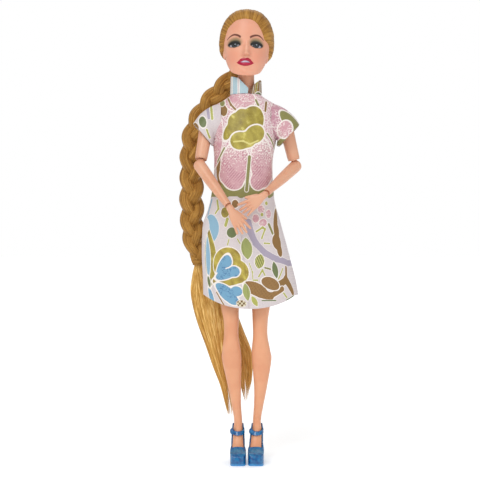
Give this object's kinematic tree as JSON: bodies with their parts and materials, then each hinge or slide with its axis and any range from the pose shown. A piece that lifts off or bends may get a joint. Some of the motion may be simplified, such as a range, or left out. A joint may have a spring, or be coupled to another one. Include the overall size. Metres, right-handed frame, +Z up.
{
  "type": "fashion doll",
  "caption": "Slim jointed fashion doll standing with its hands together, with a long plait over one side, a knee-length flowered dress with a stand collar and blue heeled shoes.",
  "frame": {"origin": "on the floor under the middle of the whole figure's bounding box", "axes": "+Z up the doll from its soles to its head; the doll faces -Y and its right side lies at -X"},
  "size_m": [0.082, 0.0514, 0.3],
  "materials": {
    "soft_skin": "satin soft vinyl",
    "hard_skin": "satin hard plastic",
    "hair": "glossy golden fibre",
    "brocade": "flowered satin brocade",
    "shoe": "glossy blue vinyl",
    "peg": "bare moulded plastic",
    "metal": "bright wire",
    "strip": "white hook and loop tape"
  },
  "bodies": {
    "torso": {"torso_front": "hard_skin", "torso_back": "hard_skin", "hip_bar": "metal", "dress_bodice": "brocade", "dress_skirt": "brocade", "dress_right_sleeve": "brocade", "dress_left_sleeve": "brocade", "dress_right_collar": "brocade", "dress_left_collar": "brocade", "dress_hook_strip": "strip", "dress_loop_strip": "strip", "hair_braid": "hair", "hair_tie": "hair", "hair_tail": "hair"},
    "neck": {"neck_peg": "peg"},
    "head": {"head": "soft_skin", "hair_cap": "hair"},
    "right_shoulder": {"right_shoulder_peg": "peg"},
    "right_upper_arm": {"right_upper_arm": "hard_skin"},
    "right_elbow": {"right_elbow_peg": "hard_skin"},
    "right_forearm": {"right_forearm": "hard_skin"},
    "right_wrist": {"right_wrist_peg": "peg"},
    "right_hand": {"right_hand": "hard_skin"},
    "left_shoulder": {"left_shoulder_peg": "peg"},
    "left_upper_arm": {"left_upper_arm": "hard_skin"},
    "left_elbow": {"left_elbow_peg": "hard_skin"},
    "left_forearm": {"left_forearm": "hard_skin"},
    "left_wrist": {"left_wrist_peg": "peg"},
    "left_hand": {"left_hand": "hard_skin"},
    "right_hip": {"right_hip_peg": "peg"},
    "right_thigh": {"right_thigh_skin": "soft_skin", "right_thigh_armature": "peg", "right_knee_skin": "soft_skin", "right_knee_pin": "metal"},
    "right_shin": {"right_shin_skin": "soft_skin", "right_shin_armature": "peg", "right_shoe": "shoe"},
    "left_hip": {"left_hip_peg": "peg"},
    "left_thigh": {"left_thigh_skin": "soft_skin", "left_thigh_armature": "peg", "left_knee_skin": "soft_skin", "left_knee_pin": "metal"},
    "left_shin": {"left_shin_skin": "soft_skin", "left_shin_armature": "peg", "left_shoe": "shoe"}
  },
  "joints": [
    {"name": "head_turn", "type": "hinge", "parent": "torso", "child": "neck", "pos_m": [0.00279, 0.00383, 0.266], "axis": [0, 0, 1], "range_deg": [-60, 60], "deforming": ["hair_braid", "dress_right_collar", "dress_left_collar"]},
    {"name": "head_nod", "type": "hinge", "parent": "neck", "child": "head", "pos_m": [0.00279, 0.00383, 0.266], "axis": [1, 0, 0], "range_deg": [-12, 8], "deforming": ["hair_braid", "dress_right_collar", "dress_left_collar"]},
    {"name": "right_shoulder_swing", "type": "hinge", "parent": "torso", "child": "right_shoulder", "pos_m": [-0.02271, 0.00383, 0.2265], "axis": [-1, 0, 0], "range_deg": [0, 130], "deforming": ["dress_right_sleeve"]},
    {"name": "right_shoulder_spread", "type": "hinge", "parent": "right_shoulder", "child": "right_upper_arm", "pos_m": [-0.02271, 0.00383, 0.2265], "axis": [0, 0.9536, -0.301], "range_deg": [0, 80], "deforming": ["dress_right_sleeve"]},
    {"name": "right_elbow_swivel", "type": "hinge", "parent": "right_upper_arm", "child": "right_elbow", "pos_m": [-0.02741, -0.00567, 0.1964], "axis": [-0.1473, -0.2977, -0.9432], "range_deg": [0, 90]},
    {"name": "right_elbow_bend", "type": "hinge", "parent": "right_elbow", "child": "right_forearm", "pos_m": [-0.02741, -0.00567, 0.1964], "axis": [-0.2829, -0.9011, 0.3286], "range_deg": [-41, 40]},
    {"name": "right_wrist_twist", "type": "hinge", "parent": "right_forearm", "child": "right_wrist", "pos_m": [-0.00761, -0.02217, 0.1682], "axis": [0.5183, -0.4319, -0.7382], "range_deg": [-90, 90]},
    {"name": "right_wrist_bend", "type": "hinge", "parent": "right_wrist", "child": "right_hand", "pos_m": [-0.00761, -0.02217, 0.1682], "axis": [0.8537, 0.2095, 0.4768], "range_deg": [-40, 20]},
    {"name": "left_shoulder_swing", "type": "hinge", "parent": "torso", "child": "left_shoulder", "pos_m": [0.02829, 0.00383, 0.2265], "axis": [-1, 0, 0], "range_deg": [0, 130], "deforming": ["dress_left_sleeve"]},
    {"name": "left_shoulder_spread", "type": "hinge", "parent": "left_shoulder", "child": "left_upper_arm", "pos_m": [0.02829, 0.00383, 0.2265], "axis": [0, -0.9859, -0.1671], "range_deg": [0, 80], "deforming": ["dress_left_sleeve"]},
    {"name": "left_elbow_swivel", "type": "hinge", "parent": "left_upper_arm", "child": "left_elbow", "pos_m": [0.03579, 0.00883, 0.197], "axis": [-0.2431, -0.1621, 0.9564], "range_deg": [0, 90]},
    {"name": "left_elbow_bend", "type": "hinge", "parent": "left_elbow", "child": "left_forearm", "pos_m": [0.03579, 0.00883, 0.197], "axis": [-0.7309, 0.6789, -0.0708], "range_deg": [-10, 20]},
    {"name": "left_wrist_twist", "type": "hinge", "parent": "left_forearm", "child": "left_wrist", "pos_m": [0.01469, -0.01597, 0.177], "axis": [-0.5522, -0.649, -0.5234], "range_deg": [-90, 90]},
    {"name": "left_wrist_bend", "type": "hinge", "parent": "left_wrist", "child": "left_hand", "pos_m": [0.01469, -0.01597, 0.177], "axis": [0.5939, 0.1344, -0.7932], "range_deg": [-40, 20]},
    {"name": "right_hip_swing", "type": "hinge", "parent": "torso", "child": "right_hip", "pos_m": [-0.00701, 0.00383, 0.151], "axis": [-1, 0, 0], "range_deg": [-20, 60], "deforming": ["dress_skirt", "hair_tail"]},
    {"name": "right_hip_spread", "type": "hinge", "parent": "right_hip", "child": "right_thigh", "pos_m": [-0.00701, 0.00383, 0.151], "axis": [0, 1, 0], "range_deg": [0, 20], "deforming": ["dress_skirt", "hair_tail"]},
    {"name": "right_knee_bend", "type": "hinge", "parent": "right_thigh", "child": "right_shin", "pos_m": [-0.00701, 0.00183, 0.085], "axis": [1, 0, 0], "range_deg": [0, 90], "deforming": ["right_knee_skin", "hair_tail"]},
    {"name": "left_hip_swing", "type": "hinge", "parent": "torso", "child": "left_hip", "pos_m": [0.01259, 0.00383, 0.151], "axis": [-1, 0, 0], "range_deg": [-20, 60], "deforming": ["dress_skirt", "hair_tail"]},
    {"name": "left_hip_spread", "type": "hinge", "parent": "left_hip", "child": "left_thigh", "pos_m": [0.01259, 0.00383, 0.151], "axis": [0, -1, 0], "range_deg": [0, 20], "deforming": ["dress_skirt", "hair_tail"]},
    {"name": "left_knee_bend", "type": "hinge", "parent": "left_thigh", "child": "left_shin", "pos_m": [0.01219, 0.00183, 0.085], "axis": [1, 0, 0], "range_deg": [0, 90], "deforming": ["left_knee_skin", "hair_tail"]}
  ]
}
